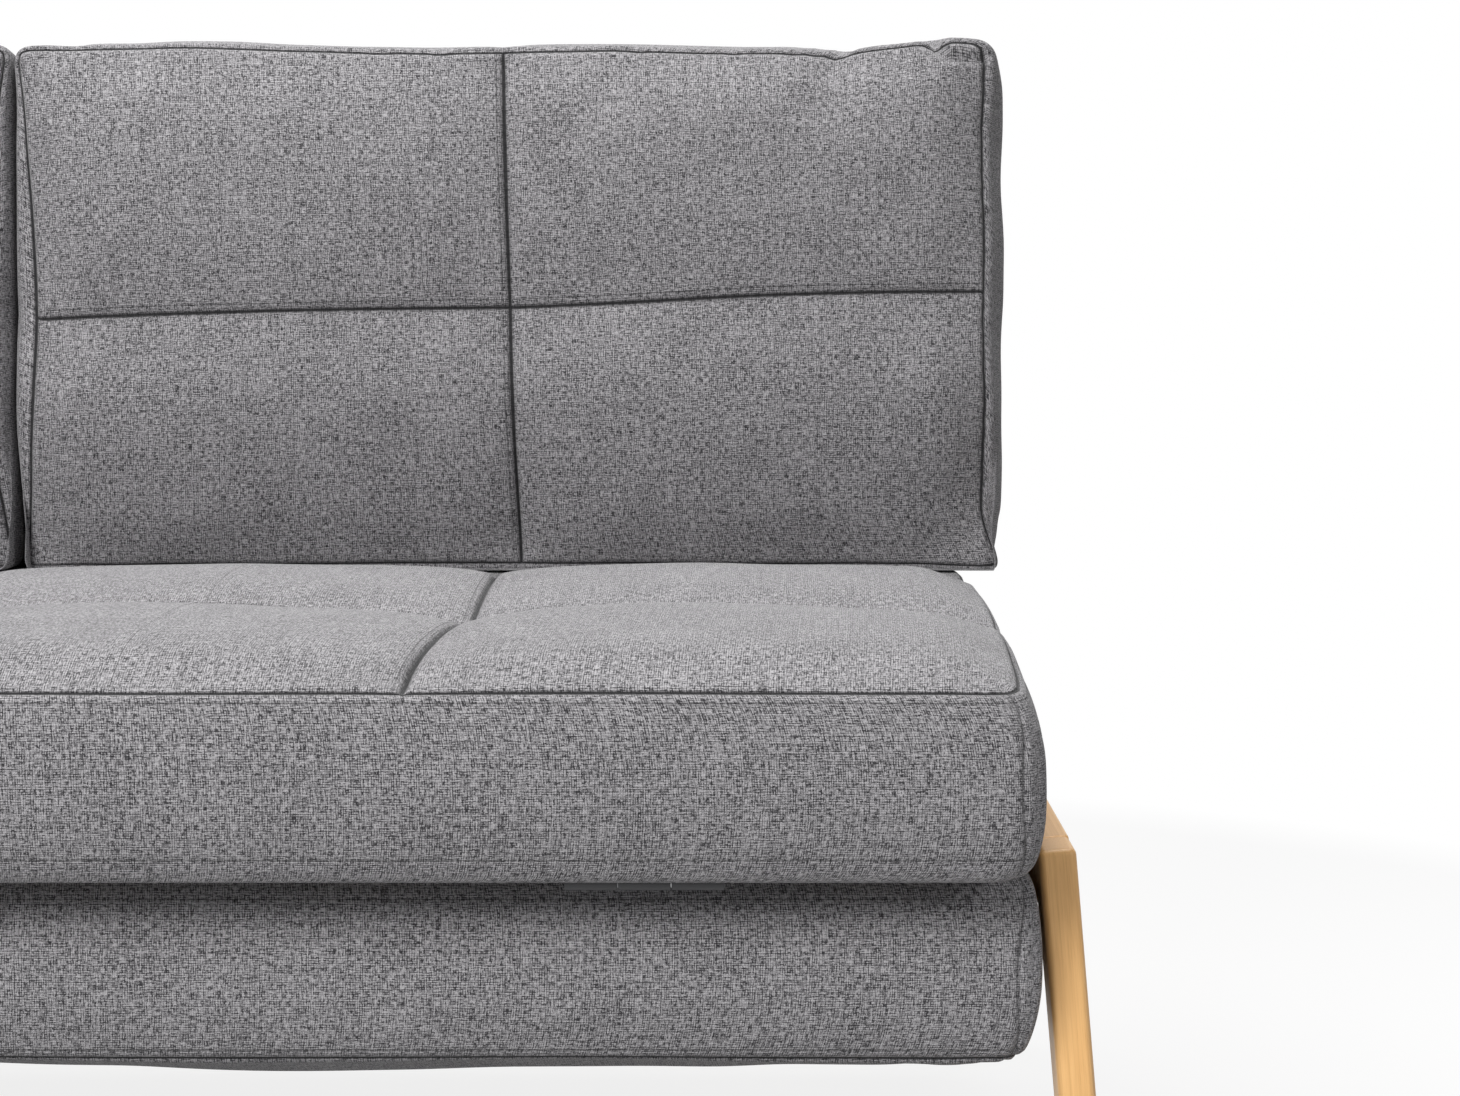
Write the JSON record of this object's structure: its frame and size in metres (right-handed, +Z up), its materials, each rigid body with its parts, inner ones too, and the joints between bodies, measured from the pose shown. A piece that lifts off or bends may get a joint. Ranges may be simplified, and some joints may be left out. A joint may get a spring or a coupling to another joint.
{
  "type": "sofa bed",
  "caption": "Armless sofa bed on splayed oak side frames, with quilted grey upholstery in folding sections, loose back cushions and fold-out leg frames.",
  "frame": {"origin": "on the floor, under the centre of the outline of the sofa in its seating position", "axes": "+X along the width, to the right as seen from the front; +Y from the front of the seat towards the back; +Z up"},
  "size_m": [1.505, 0.944, 0.8225],
  "materials": {
    "cloth": "woven grey melange",
    "foam": "open cell foam block",
    "oak": "satin clear lacquer",
    "frame_steel": "satin powder coat",
    "zinc": "zinc plated",
    "birch": "laminated, unlacquered",
    "rubber": "matt",
    "plastic": "matt"
  },
  "bodies": {
    "base": {"left_front_leg": "oak", "right_front_leg": "oak", "left_rear_leg": "oak", "right_rear_leg": "oak", "left_side_rail": "oak", "right_side_rail": "oak", "rear_axle": "zinc", "axle_collars": "zinc", "rear_stretcher": "oak", "stretcher_brackets": "frame_steel", "floor_glides": "rubber"},
    "seat_section": {"seat_cover": "cloth", "seat_foam": "foam", "seat_frame_sides": "frame_steel", "seat_frame_crossbars": "frame_steel", "seat_slats": "birch", "seat_slat_caps": "plastic", "left_seat_arm": "zinc", "right_seat_arm": "zinc", "seat_rest_tabs": "frame_steel", "rest_pads": "rubber", "seat_hinge_leaves": "frame_steel", "hinge_pins": "zinc"},
    "front_section": {"front_cover": "cloth", "front_foam": "foam", "front_frame_sides": "frame_steel", "front_frame_crossbars": "frame_steel", "front_slats": "birch", "front_slat_caps": "plastic", "front_hinge_leaves": "frame_steel", "front_leg_brackets": "frame_steel", "front_leg_pins": "zinc"},
    "front_legs": {"front_leg_uprights": "frame_steel", "front_leg_spreader": "frame_steel", "front_leg_feet": "rubber"},
    "back_section": {"back_cover": "cloth", "back_foam": "foam", "back_frame_sides": "frame_steel", "back_frame_crossbars": "frame_steel", "back_slats": "birch", "back_slat_caps": "plastic", "back_axle_ears": "frame_steel", "back_leg_brackets": "frame_steel", "back_leg_pins": "zinc"},
    "back_legs": {"back_leg_uprights": "frame_steel", "back_leg_spreader": "frame_steel", "back_leg_feet": "rubber"},
    "left_cushion": {"left_back_cushion": "cloth"},
    "right_cushion": {"right_back_cushion": "cloth"}
  },
  "joints": [
    {"name": "seat_lift", "type": "hinge", "parent": "base", "child": "seat_section", "pos_m": [0, 0.41695, 0.311], "axis": [-1, 0, 0], "range_deg": [0, 30]},
    {"name": "front_unfold", "type": "hinge", "parent": "seat_section", "child": "front_section", "pos_m": [0, -0.44405, 0.3185], "axis": [-1, 0, 0], "range_deg": [0, 180]},
    {"name": "front_legs_fold", "type": "hinge", "parent": "front_section", "child": "front_legs", "pos_m": [0, 0.14695, 0.303], "axis": [-1, 0, 0], "range_deg": [0, 90]},
    {"name": "back_recline", "type": "hinge", "parent": "seat_section", "child": "back_section", "pos_m": [0, 0.41695, 0.311], "axis": [1, 0, 0], "range_deg": [-82, 0]},
    {"name": "back_legs_fold", "type": "hinge", "parent": "back_section", "child": "back_legs", "pos_m": [0, 0.45277, 0.7311], "axis": [-1, 0, 0], "range_deg": [-90, 0]},
    {"name": "left_cushion_lift", "type": "slide", "parent": "seat_section", "child": "left_cushion", "axis": [0, 0.1392, 0.9903], "range_m": [0, 0.43]},
    {"name": "right_cushion_lift", "type": "slide", "parent": "seat_section", "child": "right_cushion", "axis": [0, 0.1392, 0.9903], "range_m": [0, 0.43]}
  ],
  "couplings": [
    {"joint": "front_legs_fold", "follows": "front_unfold", "ratio": 0.5}
  ]
}
